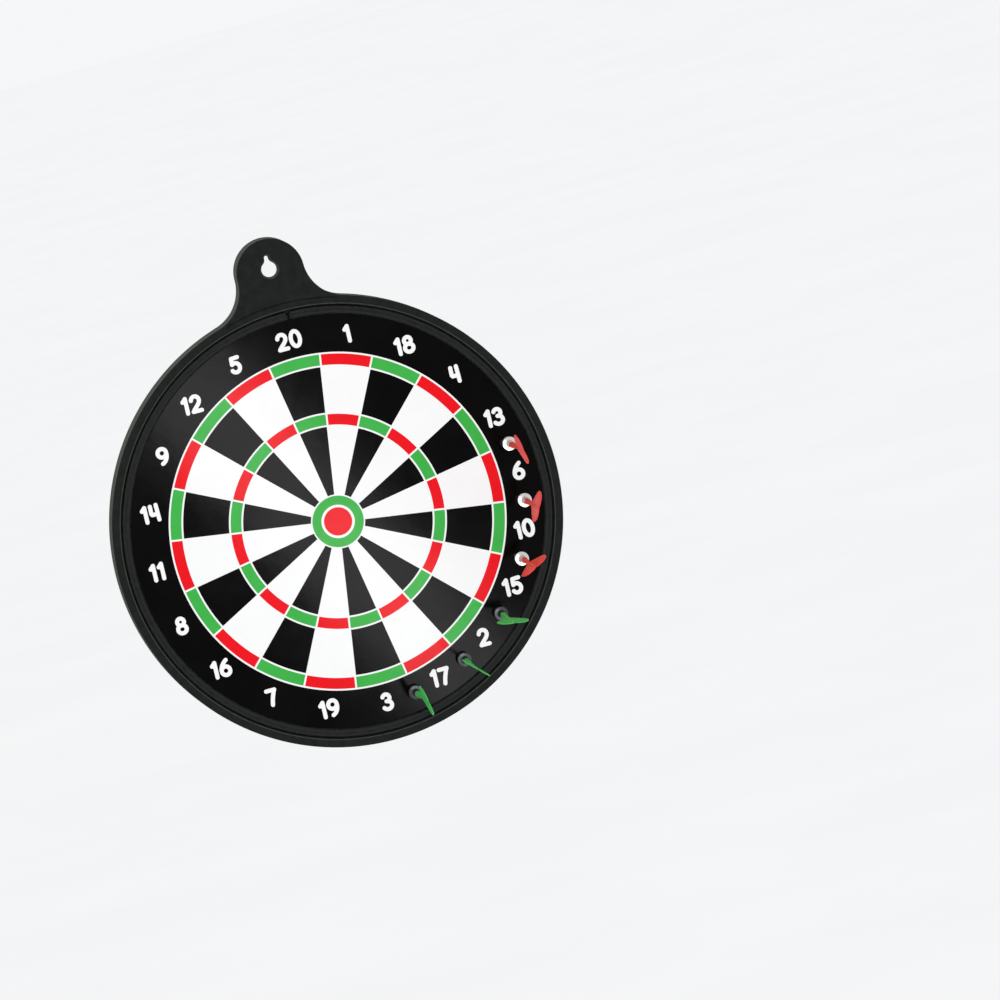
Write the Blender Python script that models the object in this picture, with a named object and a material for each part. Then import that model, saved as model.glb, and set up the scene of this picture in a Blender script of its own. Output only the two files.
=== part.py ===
"""Double-sided hanging target board with its darts and balls.

The magnetic dart face looks along -Y and the loop fabric scoring face along +Y. The origin is the
seat of the hanging nail: the centre of the keyhole's narrow end, on the board's back plane. +Z is
up. Angles round the board run clockwise from the hanging tab, as seen from the magnetic face.
Lengths are in millimetres times MM.
"""

import math

import bmesh
import bpy
from mathutils import Matrix, Vector
from mathutils.geometry import interpolate_bezier

MM = 0.001
GAP = 0.3 * MM                      # between pieces that touch

# board
BOARD_RADIUS = 185.0 * MM
BOARD_DEPTH = 15.0 * MM
RIM_BEVEL = 0.8 * MM
BORE_RADIUS = 175.0 * MM            # the stepped opening that holds the two faces
REBATE_RADIUS = 177.8 * MM          # the wider mouth round each retaining ring
LIP_CHAMFER = 0.8 * MM
LEDGE_RADIUS = 165.0 * MM           # the shelf inside the bore
LEDGE_FRONT = 10.0 * MM             # depths are measured forward from the back plane
LEDGE_BACK = 7.0 * MM
ROUND_STEPS = 64

# hanging tab and its keyhole
TAB_RADIUS = 27.8 * MM
TAB_HEIGHT = 210.7 * MM             # head centre above the board's centre
NAIL_HEIGHT = 223.0 * MM            # nail seat above the board's centre
NAIL_RADIUS = 2.6 * MM
BULB_RADIUS = 7.3 * MM
BULB_DROP = 9.7 * MM                # bulb centre below the nail seat
KEYHOLE_FILLET = 4.0 * MM

# layers between the faces: outer radius, back depth, front depth
DISC_RADIUS = 174.4 * MM
CORE_RADIUS = 164.4 * MM
STEEL_DEPTHS = (10.3 * MM, 10.8 * MM)
PRINT_DEPTHS = (11.1 * MM, 11.6 * MM)
PAD_DEPTHS = (4.7 * MM, 6.7 * MM)
FABRIC_DEPTHS = (3.1 * MM, 4.4 * MM)

# retaining rings
RING_INNER = 169.5 * MM
RING_OUTER = 177.0 * MM
RING_HEIGHT = 2.8 * MM
RING_SHOULDER = 1.2 * MM            # the bead's rounding, inwards and outwards
SEAM_ANGLE = math.radians(1.5)      # the butt seam, just clockwise of the tab
SEAM_WIDTH = 0.8 * MM

# darts, measured from the magnet's face towards the tail
DART_COUNT = 6
DART_RING_RADIUS = 153.5 * MM
DART_FIRST_ANGLE = math.radians(81.0)
DART_ANGLE_STEP = math.radians(18.0)
DART_SIDES = 12
HEAD_RADIUS = 5.8 * MM
HEAD_LENGTH = 8.4 * MM
HEAD_WAIST_RADIUS = 5.0 * MM        # a shallow groove round the head
HEAD_EDGE = 0.5 * MM
MAGNET_RADIUS = 4.7 * MM
MAGNET_LENGTH = 3.0 * MM
SLEEVE_RADIUS = 2.9 * MM
SLEEVE_END = 20.5 * MM
SOCKET_RADIUS = 2.2 * MM
SOCKET_LENGTH = 8.0 * MM
STEM_RADIUS = 2.5 * MM
STEM_TIP_RADIUS = 1.25 * MM
FLIGHT_START = 50.5 * MM
SPINE_END = 78.0 * MM
SPINE_TIP_RADIUS = 0.75 * MM
FLIGHT_THICKNESS = 1.1 * MM
BEZIER_POINTS = 6

# balls
BALL_COUNT = 6
BALL_RING_RADIUS = 142.0 * MM
SHELL_RADIUS = 19.5 * MM
SHELL_INNER = 17.9 * MM
HOLE_RADIUS = 2.0 * MM
HOLE_SIDES = 6
STRAP_WIDTH = 7.2 * MM
STRAP_THICKNESS = 0.8 * MM
STRAP_INNER = 19.9 * MM             # a strap lying on the shell
STRAP_LIFTED = 21.4 * MM            # a strap crossing over another
STRAP_STEPS = 24


def clear_scene():
    for old in list(bpy.data.objects):
        bpy.data.objects.remove(old, do_unlink=True)


def material(name, colour, roughness, metallic=0.0):
    mat = bpy.data.materials.new(name)
    mat.use_nodes = True
    shader = mat.node_tree.nodes["Principled BSDF"]
    shader.inputs["Base Color"].default_value = (*colour, 1.0)
    shader.inputs["Roughness"].default_value = roughness
    shader.inputs["Metallic"].default_value = metallic
    return mat


def to_mesh(bm, name):
    """Turn a bmesh into a mesh whose faces point out, and free it."""
    bmesh.ops.recalc_face_normals(bm, faces=bm.faces)
    mesh = bpy.data.meshes.new(name)
    bm.to_mesh(mesh)
    bm.free()
    return mesh


def place(name, mesh, mat, parent, rotation=None):
    """Put a mesh in the scene as one named piece on its parent empty."""
    piece = bpy.data.objects.new(name, mesh)
    bpy.context.scene.collection.objects.link(piece)
    if not mesh.materials:
        mesh.materials.append(mat)
    mesh.shade_smooth()
    mesh.set_sharp_from_angle(angle=math.radians(35))
    piece.parent = parent
    if rotation:
        piece.rotation_euler = rotation
    return piece


def empty(name, location, rotation=(0, 0, 0)):
    axis = bpy.data.objects.new(name, None)
    axis.location = location
    axis.rotation_euler = rotation
    bpy.context.scene.collection.objects.link(axis)
    return axis


def cut(name, mesh, tool, operation):
    """The mesh after one exact Boolean with a tool mesh."""
    body = bpy.data.objects.new(name, mesh)
    cutter = bpy.data.objects.new(name + "_tool", tool)
    cutter.hide_render = True
    cutter.display_type = "WIRE"
    for part in (body, cutter):
        bpy.context.scene.collection.objects.link(part)
    modifier = body.modifiers.new("cut", "BOOLEAN")
    modifier.operation = operation
    modifier.solver = "EXACT"
    modifier.object = cutter
    depsgraph = bpy.context.evaluated_depsgraph_get()
    result = bpy.data.meshes.new_from_object(body.evaluated_get(depsgraph))
    for part in (body, cutter):
        bpy.data.objects.remove(part, do_unlink=True)
    return result


def direction(angle):
    """Unit direction in the board's plane, clockwise from +Z as seen from the front."""
    return Vector((math.sin(angle), 0, math.cos(angle)))


def arc(x, z, radius, start, end, steps):
    """Points on an arc in the board's plane, both ends included; angles in degrees."""
    centre = Vector((x, 0, z))
    angles = (start + (end - start) * i / steps for i in range(steps + 1))
    return [centre + radius * direction(math.radians(angle)) for angle in angles]


def turned(profile, steps, closed=False, start=0.0, sweep=math.tau):
    """A body turned about Y from (radius, y) points. A closed profile makes a ring."""
    bm = bmesh.new()
    verts = [bm.verts.new(radius * direction(start) + Vector((0, y, 0))) for radius, y in profile]
    edges = [bm.edges.new(pair) for pair in zip(verts, verts[1:])]
    if closed:
        edges.append(bm.edges.new((verts[-1], verts[0])))
    whole_turn = math.isclose(sweep, math.tau)
    bmesh.ops.spin(bm, geom=verts + edges, cent=(0, 0, 0), axis=(0, 1, 0), angle=sweep,
                   steps=steps, use_merge=whole_turn)
    if whole_turn:
        bmesh.ops.remove_doubles(bm, verts=bm.verts, dist=0.001 * MM)
    else:
        ends = [edge for edge in bm.edges if edge.is_boundary]
        bmesh.ops.holes_fill(bm, edges=ends, sides=len(profile))
    return bm


def extruded(outline, y_start, y_end, bevel=0.0):
    """A plate from an outline in the board's plane, with optional bevelled rims."""
    bm = bmesh.new()
    face = bm.faces.new([bm.verts.new((point.x, y_start, point.z)) for point in outline])
    grown = bmesh.ops.extrude_face_region(bm, geom=[face])["geom"]
    moved = [item for item in grown if isinstance(item, bmesh.types.BMVert)]
    bmesh.ops.translate(bm, verts=moved, vec=(0, y_end - y_start, 0))
    if bevel:
        rims = [edge for edge in bm.edges if abs(edge.verts[0].co.y - edge.verts[1].co.y) < GAP]
        bmesh.ops.bevel(bm, geom=rims, offset=bevel, segments=1, affect="EDGES")
    return bm


# ---------------------------------------------------------------- board

def frame_outline():
    """The hoop's outer circle running into the tab through two hollow fillets."""
    fillet = (TAB_RADIUS**2 + TAB_HEIGHT**2 - BOARD_RADIUS**2) / (2 * (BOARD_RADIUS - TAB_RADIUS))
    side = TAB_RADIUS + fillet
    meet = math.degrees(math.atan2(side, TAB_HEIGHT))
    points = arc(0, TAB_HEIGHT, TAB_RADIUS, -90, 90, 20)
    points += arc(side, TAB_HEIGHT, fillet, 270, 180 + meet, 8)[1:]
    points += arc(0, 0, BOARD_RADIUS, meet, 360 - meet, ROUND_STEPS - 6)[1:]
    points += arc(-side, TAB_HEIGHT, fillet, 180 - meet, 90, 8)[1:-1]
    return points


def keyhole_outline():
    """A bulb that narrows through hollow fillets to the nail's seat above it."""
    bulb_z = NAIL_HEIGHT - BULB_DROP
    to_bulb = BULB_RADIUS + KEYHOLE_FILLET
    to_seat = NAIL_RADIUS + KEYHOLE_FILLET
    rise = (to_bulb**2 - to_seat**2 + BULB_DROP**2) / (2 * BULB_DROP)
    side = math.sqrt(to_bulb**2 - rise**2)
    bulb_meet = math.degrees(math.atan2(side, rise))
    seat_meet = math.degrees(math.atan2(side, rise - BULB_DROP))
    fillet_z = bulb_z + rise
    points = arc(0, NAIL_HEIGHT, NAIL_RADIUS, -seat_meet, seat_meet, 8)
    points += arc(side, fillet_z, KEYHOLE_FILLET, 180 + seat_meet, 180 + bulb_meet, 4)[1:]
    points += arc(0, bulb_z, BULB_RADIUS, bulb_meet, 360 - bulb_meet, 18)[1:]
    points += arc(-side, fillet_z, KEYHOLE_FILLET, 180 - bulb_meet, 180 - seat_meet, 4)[1:-1]
    return points


def bore_profile():
    """Half section of the stepped opening, running past both faces."""
    past = BOARD_DEPTH / 4
    mouth = REBATE_RADIUS + LIP_CHAMFER + past
    back_floor, front_floor = -FABRIC_DEPTHS[0], -PRINT_DEPTHS[1]
    return [
        (0, past),
        (mouth, past),
        (REBATE_RADIUS, -LIP_CHAMFER),
        (REBATE_RADIUS, back_floor),
        (BORE_RADIUS, back_floor),
        (BORE_RADIUS, -LEDGE_BACK),
        (LEDGE_RADIUS, -LEDGE_BACK),
        (LEDGE_RADIUS, -LEDGE_FRONT),
        (BORE_RADIUS, -LEDGE_FRONT),
        (BORE_RADIUS, front_floor),
        (REBATE_RADIUS, front_floor),
        (REBATE_RADIUS, -BOARD_DEPTH + LIP_CHAMFER),
        (mouth, -BOARD_DEPTH - past),
        (0, -BOARD_DEPTH - past),
    ]


def make_frame(board):
    plate = to_mesh(extruded(frame_outline(), 0, -BOARD_DEPTH, RIM_BEVEL), "foam_frame")
    bore = to_mesh(turned(bore_profile(), ROUND_STEPS), "bore_tool")
    keyhole = to_mesh(extruded(keyhole_outline(), BOARD_DEPTH, -2 * BOARD_DEPTH), "keyhole_tool")
    hoop = cut("hoop", plate, bore, "DIFFERENCE")
    mesh = cut("keyed_hoop", hoop, keyhole, "DIFFERENCE")
    place("foam_frame", mesh, material("eva_foam", (0.016, 0.017, 0.018), 0.85), board)


def make_disc(board, name, radius, depths, mat):
    back, front = depths
    profile = [(0, -back), (radius, -back), (radius, -front), (0, -front)]
    place(name, to_mesh(turned(profile, ROUND_STEPS), name), mat, board)


def make_ring(board, name, seat, outward, mat):
    """A round-topped bead lying on a face at depth `seat`, cut open at its butt seam."""
    top = seat + outward * RING_HEIGHT
    shoulder = top - outward * RING_SHOULDER
    profile = [
        (RING_INNER, seat),
        (RING_OUTER, seat),
        (RING_OUTER, shoulder),
        (RING_OUTER - RING_SHOULDER, top),
        (RING_INNER + RING_SHOULDER, top),
        (RING_INNER, shoulder),
    ]
    seam = SEAM_WIDTH / RING_INNER
    ring = turned(profile, ROUND_STEPS, closed=True, start=SEAM_ANGLE + seam / 2,
                  sweep=math.tau - seam)
    place(name, to_mesh(ring, name), mat, board)


def make_board():
    board = empty("board_centre", (0, 0, -NAIL_HEIGHT))
    make_frame(board)
    make_disc(board, "core_board", CORE_RADIUS, (LEDGE_BACK, LEDGE_FRONT),
              material("core", (0.30, 0.22, 0.15), 0.85))
    make_disc(board, "steel_plate", DISC_RADIUS, STEEL_DEPTHS,
              material("sheet_steel", (0.45, 0.46, 0.48), 0.35, 1.0))
    make_disc(board, "target_sheet", DISC_RADIUS, PRINT_DEPTHS,
              material("printed_sheet", (0.012, 0.012, 0.013), 0.3))
    make_disc(board, "foam_pad", DISC_RADIUS, PAD_DEPTHS,
              material("soft_foam", (0.55, 0.55, 0.52), 0.95))
    make_disc(board, "loop_fabric_face", DISC_RADIUS, FABRIC_DEPTHS,
              material("loop_fabric", (0.82, 0.80, 0.76), 0.95))
    bead = material("rubber_bead", (0.010, 0.010, 0.011), 0.7)
    make_ring(board, "front_retaining_ring", -PRINT_DEPTHS[1] - GAP, -1, bead)
    make_ring(board, "back_retaining_ring", -FABRIC_DEPTHS[0] + GAP, 1, bead)


# ---------------------------------------------------------------- darts

def barrel_mesh():
    """A cupped head with a waist groove, stepping down to the sleeve that grips the stem."""
    waist = HEAD_LENGTH * 0.62
    profile = [
        (0, MAGNET_LENGTH + GAP),
        (MAGNET_RADIUS + GAP, MAGNET_LENGTH + GAP),
        (MAGNET_RADIUS + GAP, 0),
        (HEAD_RADIUS - HEAD_EDGE, 0),
        (HEAD_RADIUS, HEAD_EDGE),
        (HEAD_RADIUS, waist),
        (HEAD_WAIST_RADIUS, waist + HEAD_EDGE),
        (HEAD_RADIUS, waist + 2 * HEAD_EDGE),
        (HEAD_RADIUS, HEAD_LENGTH - HEAD_EDGE),
        (HEAD_RADIUS - HEAD_EDGE, HEAD_LENGTH),
        (SLEEVE_RADIUS, HEAD_LENGTH),
        (SLEEVE_RADIUS, SLEEVE_END),
        (SOCKET_RADIUS, SLEEVE_END),
        (SOCKET_RADIUS, SLEEVE_END - SOCKET_LENGTH),
        (0, SLEEVE_END - SOCKET_LENGTH),
    ]
    return to_mesh(turned([(r, -s) for r, s in profile], DART_SIDES), "dart_barrel")


def magnet_mesh():
    profile = [
        (0, 0),
        (MAGNET_RADIUS - HEAD_EDGE, 0),
        (MAGNET_RADIUS, HEAD_EDGE),
        (MAGNET_RADIUS, MAGNET_LENGTH),
        (0, MAGNET_LENGTH),
    ]
    return to_mesh(turned([(r, -s) for r, s in profile], DART_SIDES), "dart_magnet")


def flight_outline():
    """Heart-shaped vane, its point at the stem and its two lobes at the tail."""
    curves = (
        ((1.25, 0.0), (5.0, 8.5), (12.9, 21.0), (12.9, 28.0)),
        ((12.9, 28.0), (12.9, 36.5), (9.6, 45.0), (6.3, 45.0)),
        ((6.3, 45.0), (3.6, 45.0), (1.2, 44.2), (0.0, 42.4)),
    )
    half = []
    for curve in curves:
        knots = [Vector((x, 0, z)) * MM for x, z in curve]
        half += interpolate_bezier(*knots, BEZIER_POINTS)[1 if half else 0:]
    other = [Vector((-point.x, 0, point.z)) for point in reversed(half[:-1])]
    return half + other


def flight_mesh():
    """Stem and vane moulded in one; the stem runs on as a spine up the middle of the vane."""
    collar = SLEEVE_END + GAP
    stem_profile = [
        (0, SLEEVE_END - SOCKET_LENGTH + GAP),
        (SOCKET_RADIUS - GAP, SLEEVE_END - SOCKET_LENGTH + GAP),
        (SOCKET_RADIUS - GAP, collar),
        (STEM_RADIUS, collar),
        (STEM_TIP_RADIUS, FLIGHT_START),
        (SPINE_TIP_RADIUS, SPINE_END),
        (0, SPINE_END),
    ]
    stem = to_mesh(turned([(r, -s) for r, s in stem_profile], DART_SIDES), "dart_stem")
    vane = extruded(flight_outline(), -FLIGHT_THICKNESS / 2, FLIGHT_THICKNESS / 2)
    upright_to_tail = Matrix.Rotation(math.radians(90), 4, "X")
    vane.transform(Matrix.Translation((0, -FLIGHT_START, 0)) @ upright_to_tail)
    return cut("dart_flight", stem, to_mesh(vane, "dart_vane"), "UNION")


def make_darts():
    flight, barrel, magnet = flight_mesh(), barrel_mesh(), magnet_mesh()
    plastics = (material("red_plastic", (0.80, 0.03, 0.02), 0.4),
                material("green_plastic", (0.03, 0.45, 0.07), 0.4))
    metals = (material("nickel", (0.62, 0.60, 0.57), 0.2, 1.0),
              material("gunmetal", (0.06, 0.06, 0.065), 0.3, 1.0))
    dark = material("magnet", (0.10, 0.10, 0.11), 0.4, 0.8)
    for i in range(DART_COUNT):
        kind = i * 2 // DART_COUNT
        spot = DART_RING_RADIUS * direction(DART_FIRST_ANGLE + i * DART_ANGLE_STEP)
        spot += Vector((0, -PRINT_DEPTHS[1] - GAP, -NAIL_HEIGHT))
        roll = DART_FIRST_ANGLE + i * DART_ANGLE_STEP * 2
        axis = empty(f"dart_{i + 1}_axis", spot, (0, roll, 0))
        place(f"dart_{i + 1}_flight", flight.copy(), plastics[kind], axis)
        place(f"dart_{i + 1}_barrel", barrel.copy(), metals[kind], axis)
        place(f"dart_{i + 1}_magnet", magnet.copy(), dark, axis)


# ---------------------------------------------------------------- balls

def shell_mesh():
    """A thin hollow sphere with a round hole in the middle of each octant."""
    outer = bmesh.new()
    bmesh.ops.create_icosphere(outer, subdivisions=2, radius=SHELL_RADIUS)
    tools = bmesh.new()
    bmesh.ops.create_icosphere(tools, subdivisions=1, radius=SHELL_INNER)
    mesh = cut("shell", to_mesh(outer, "shell"), to_mesh(tools, "hollow"), "DIFFERENCE")
    for side in ((1, 1), (1, -1), (-1, 1), (-1, -1)):
        drill = bmesh.new()
        bmesh.ops.create_cone(drill, cap_ends=True, segments=HOLE_SIDES, radius1=HOLE_RADIUS,
                              radius2=HOLE_RADIUS, depth=3 * SHELL_RADIUS)
        towards = Vector((*side, 1)).to_track_quat("Z", "Y")
        drill.transform(towards.to_matrix().to_4x4())
        mesh = cut("shell", mesh, to_mesh(drill, "drill"), "DIFFERENCE")
    return mesh


def strap_mesh(lifted_at):
    """A band round the ball about local Y, lifted over others at the given quarter turns."""
    half = STRAP_WIDTH / 2
    bm = bmesh.new()
    loops = []
    for i in range(STRAP_STEPS):
        angle = math.tau * i / STRAP_STEPS
        quarter = math.tau / 4
        offset = abs((angle + quarter / 2) % quarter - quarter / 2)
        nearest = round(angle / quarter) % 4
        raised = nearest in lifted_at and offset < quarter / 4
        inner = STRAP_LIFTED if raised else STRAP_INNER
        section = ((inner, -half), (inner, half), (inner + STRAP_THICKNESS, half),
                   (inner + STRAP_THICKNESS, -half))
        loops.append([bm.verts.new(r * direction(angle) + Vector((0, y, 0))) for r, y in section])
    for here, there in zip(loops, loops[1:] + loops[:1]):
        for k in range(4):
            bm.faces.new((here[k], here[k - 1], there[k - 1], there[k]))
    return to_mesh(bm, "hook_strap")


def make_balls():
    """Straps about X, Z and Y in turn: each crosses over the ones before it."""
    shell = shell_mesh()
    straps = (
        ("strap_a", strap_mesh(()), (0, 0, math.radians(90))),
        ("strap_b", strap_mesh((0, 2)), (0, 0, 0)),
        ("strap_c", strap_mesh((0, 1, 2, 3)), (math.radians(90), 0, 0)),
    )
    colours = (material("yellow_plastic", (0.90, 0.66, 0.01), 0.2),
               material("blue_plastic", (0.03, 0.28, 0.62), 0.2))
    hook = material("hook_tape", (0.008, 0.008, 0.009), 0.9)
    reach = STRAP_LIFTED + STRAP_THICKNESS
    for i in range(BALL_COUNT):
        kind = i * 2 // BALL_COUNT
        place_in_half = i % (BALL_COUNT // 2)
        angle = math.radians((45, 225)[kind] + 45 * place_in_half)
        spot = BALL_RING_RADIUS * direction(angle)
        spot += Vector((0, reach + GAP - FABRIC_DEPTHS[0], -NAIL_HEIGHT))
        axis = empty(f"ball_{i + 1}_axis", spot, (0, angle + math.radians(25 * i), 0))
        place(f"ball_{i + 1}_shell", shell.copy(), colours[kind], axis)
        for label, mesh, turn in straps:
            place(f"ball_{i + 1}_{label}", mesh.copy(), hook, axis, rotation=turn)


clear_scene()
make_board()
make_darts()
make_balls()
bpy.context.view_layer.update()
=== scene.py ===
"""Looks of the double-sided target board, its magnetic darts and its hook-strap balls.

The magnetic dart face looks along -Y and the loop fabric face along +Y. Angles round the board run
clockwise from the hanging tab, as seen from the dart face. Sizes are in metres, given as a number of
millimetres times MM, unless a comment says otherwise.
"""
import math

import bmesh
import bpy
import numpy as np
from mathutils import Matrix, Vector, noise


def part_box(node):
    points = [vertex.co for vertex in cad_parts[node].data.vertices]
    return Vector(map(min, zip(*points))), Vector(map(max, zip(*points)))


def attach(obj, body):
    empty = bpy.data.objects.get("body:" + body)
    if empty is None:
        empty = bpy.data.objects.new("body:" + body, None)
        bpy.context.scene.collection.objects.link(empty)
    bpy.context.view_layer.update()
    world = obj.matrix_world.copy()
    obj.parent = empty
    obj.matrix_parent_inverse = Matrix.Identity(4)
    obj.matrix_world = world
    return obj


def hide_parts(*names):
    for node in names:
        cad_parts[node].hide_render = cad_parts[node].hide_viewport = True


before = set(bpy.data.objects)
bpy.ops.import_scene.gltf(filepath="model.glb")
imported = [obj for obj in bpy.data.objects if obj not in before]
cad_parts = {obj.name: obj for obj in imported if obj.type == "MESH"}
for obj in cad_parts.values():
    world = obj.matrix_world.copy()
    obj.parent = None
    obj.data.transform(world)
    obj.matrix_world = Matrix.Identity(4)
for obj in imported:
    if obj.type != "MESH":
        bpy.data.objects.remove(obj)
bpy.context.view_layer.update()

MM = 0.001
TURN = math.tau
QUARTER = TURN / 4
SHARP = math.radians(38)  # edges sharper than this are shaded as edges


# ---------------- sizes read off the frame

def depths(node):
    """The Y of a CAD node's two sides, the one nearer the dart face first."""
    low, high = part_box(node)
    return low.y, high.y


RIM_LOW, RIM_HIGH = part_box("foam_frame")
BOARD_RADIUS = (RIM_HIGH.x - RIM_LOW.x) / 2
FRONT, BACK = RIM_LOW.y, RIM_HIGH.y
CENTRE = Vector((0, 0, RIM_LOW.z + BOARD_RADIUS))
DISC_LOW, DISC_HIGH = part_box("target_sheet")
DISC_RADIUS = (DISC_HIGH.x - DISC_LOW.x) / 2
PRINT_FRONT, PRINT_BACK = depths("target_sheet")
FABRIC_BACK, FABRIC_FRONT = depths("loop_fabric_face")
PAD_BACK, PAD_FRONT = depths("foam_pad")
LEDGE_FRONT, LEDGE_BACK = depths("core_board")
DART_TIP = depths("dart_1_barrel")[1]

# foam frame
BORE_RADIUS = 175.0 * MM
LIP_RADIUS = 178.8 * MM  # crown of the raised lip beside each bead
LIP_INSIDE = ((1.0, 1.4), (0.8, 0.5), (0.45, 0.1))  # millimetres inside the crown and below it
FLANGE_SINK = 0.35 * MM  # the flange lies this far below the lip
LIP_OUTSIDE = ((0, 0), (0.5, 0.05), (0.9, 0.4), (1.3, 0.85), (1.8, 1))  # millimetres out, share sunk
FLANGE_MIDDLE = 182.2 * MM  # the last true circle on the flange, away from the tab
FLANGE_WAVE = 0.07 * MM
CREASE_RADIUS = 183.8 * MM  # the faint fold across the root of the tab
CREASE_DEPTH = 0.9 * MM
CREASE_SECTION = ((0.8, 0.05), (0.35, 0.5), (0, 1))  # millimetres before the fold, share of its depth
RIM_ROUNDING = 0.8 * MM
WALL_HOLLOW = 0.14 * MM
WALL_RIPPLE = 0.06 * MM
SKEW = 1.6 * MM  # the die-cut wall leans: its edge on the fabric face is this far off
SKEW_ANGLE = math.radians(-46)  # the way it leans
LEDGE_RADIUS = 165.0 * MM
TAB_RADIUS = 27.8 * MM
TAB_HEIGHT = RIM_HIGH.z - TAB_RADIUS - CENTRE.z
NAIL_HEIGHT = -CENTRE.z
NAIL_RADIUS = 2.6 * MM
BULB_RADIUS = 7.3 * MM
BULB_DROP = 9.7 * MM
KEYHOLE_FILLET = 4.0 * MM
KEYHOLE_LIP = 0.7 * MM
KEYHOLE_SWELL = 1.0 * MM  # the cut foam swells into the opening at mid depth
QUARTER_STEPS = (18, 36, 54, 72, 90)  # degrees round a rounded edge

# retaining beads
RING_INNER = 169.5 * MM
RING_OUTER = 177.0 * MM
RING_HEIGHT = 2.8 * MM
RING_GAP = 0.3 * MM  # under the bead
SEAM_ANGLE = math.radians(1.5)
SEAM_WIDTH = 1.8 * MM
SEAM_NOTCH = 2.2 * MM  # the bead's ends narrow over this length
BEAD_WANDER = 1.2 * MM  # how far its inner edge wanders with its wrinkles

# dart face, radii
SECTORS = 20
BULL = 11.6 * MM
BULL_LINE = 13.7 * MM
OUTER_BULL = 21.1 * MM
OUTER_BULL_LINE = 22.2 * MM
TREBLE = (79.2 * MM, 88.0 * MM)
DOUBLE = (128.2 * MM, 137.2 * MM)
RING_LINE = 1.4 * MM  # the white line each side of a ring
SECTOR_LINE = 0.75 * MM  # half the white line between sectors
NUMBER_RADIUS = 153.4 * MM
CLOCK = (20, 1, 18, 4, 13, 6, 10, 15, 2, 17, 3, 19, 7, 16, 8, 11, 14, 9, 12, 5)

# fabric face; each list of scores runs clockwise from the tab as seen on that face
SCORE_BANDS = (28.2 * MM, 34.7 * MM, 67.8 * MM, 75.6 * MM, 116.0 * MM, 124.0 * MM)
OUTLINE = 0.85 * MM  # the dark line round each coloured field
DIVIDER = 3.45 * MM  # half the distance between neighbouring fields
FABRIC_EDGE = 167.2 * MM  # where the cloth turns down beside the bead
PUCKER_START = 158 * MM
PUCKER_RUN = 8 * MM
PUCKER_DEPTH = 0.05 * MM
SCORE_RADII = (51.0 * MM, 95.6 * MM, 147.0 * MM)
INNER_SCORES = (("90", "red"), ("70", "green"), ("60", "yellow"), ("80", "blue"))
MIDDLE_SCORES = (("40", "blue"), ("50", "red"), ("20", "yellow"), ("50", "green"),
                 ("40", "blue"), ("30", "red"), ("20", "yellow"), ("30", "green"))
OUTER_SCORES = ("yellow", "green", "blue", "red", "yellow", "green", "blue", "red")

EACH_KIND = 3  # darts of each colour, and balls of each colour

# darts, measured from the magnet's face towards the tail
DART_RING_RADIUS = 153.5 * MM
DART_FIRST_ANGLE = math.radians(81.0)
DART_ANGLE_STEP = math.radians(18.0)
HEAD_RADIUS = 5.8 * MM
HEAD_LENGTH = 8.4 * MM
MAGNET_RADIUS = 4.7 * MM
MAGNET_LENGTH = 3.0 * MM
SLEEVE_RADIUS = 2.9 * MM
SLEEVE_END = 20.5 * MM
SOCKET_RADIUS = 2.2 * MM
SOCKET_LENGTH = 8.0 * MM
FIT_GAP = 0.3 * MM  # round the magnet in its cup and the stem in its socket
FLIGHT_START = 50.5 * MM
SPINE_END = 88.0 * MM

# the dart's vane, in millimetres
VANE_ROOT = 1.25  # half its width at the root
VANE_HALF = 12.9  # half its width at its widest
VANE_LENGTH = 45.0
VANE_NOTCH = 42.4  # from the root to the notch between the lobes
VANE_THICK = 0.40  # half its thickness
RIB_PITCH = 1.6
RIB_HEIGHT = 0.11
SCALLOP = 0.09

# balls
BALL_RING_RADIUS = 142.0 * MM
BALL_ANGLE_STEP = 45  # degrees
BALL_TURN = math.radians(25)  # each ball is turned this much further than the last
BALL_GAP = 0.2 * MM  # between a strap and the cloth
SHELL_RADIUS = 19.5 * MM
SHELL_INNER = 17.9 * MM
HOLE_RADIUS = 2.0 * MM
HOLE_LIP = 0.5 * MM
PANEL_EDGE = 4.6 * MM  # where a raised panel stops beside its strap
PANEL_STEP = 0.35 * MM
PANEL_ROWS = (0.70, 0.66, 0.61, 0.56)  # loops round the hole, as octant() takes them
PANEL_MARKS = (5.8, 5.0, 4.6, 4.45, 4.3, 4.15, 3.9, 2.4, 0.9, 0.0)  # millimetres from the strap planes
DIAGONAL = np.ones(3) / math.sqrt(3)  # the middle of the +++ octant
OCTANTS = ((1, 1, 1), (-1, 1, 1), (1, -1, 1), (1, 1, -1),
           (-1, -1, 1), (-1, 1, -1), (1, -1, -1), (-1, -1, -1))
STRAP_WIDTH = 7.2 * MM
STRAP_THICKNESS = 0.65 * MM
STRAP_INNER = 19.6 * MM
STRAP_LIFTED = 20.35 * MM  # where it passes over another strap
STRAP_CROWN = 0.12 * MM
STRAP_SEAM = math.radians(32)
STRAP_GAP = 0.5 * MM
LIFT_REACH = 0.50  # radians from the crossing to where the strap starts to rise
LIFT_RUN = 0.27

# studio: name, place from the board's centre, lean of the box in degrees, size and power
SOFT_BOXES = (("strip_box", (0.122, -1.5, -0.165), -29, (0.11, 0.75), 2.8),
              ("front_box", (-1.1, -1.6, 1.1), 0, (0.9, 0.9), 3.5),
              ("back_box", (-0.7, 1.6, 0.9), 0, (1.2, 1.0), 9.0))


def direction(angle):
    """Unit direction in the board's plane, clockwise from the tab as seen from the dart face."""
    return Vector((math.sin(angle), 0, math.cos(angle)))


def round_board(radius, angle, y):
    """Points (..., 3) at a radius and angle about the board's centre, at depth y."""
    radius, angle, y = np.broadcast_arrays(radius, angle, y)
    return np.stack([radius * np.sin(angle), y, radius * np.cos(angle) + CENTRE.z], -1)


def smooth_step(value):
    value = np.clip(value, 0, 1)
    return value * value * (3 - 2 * value)


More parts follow.
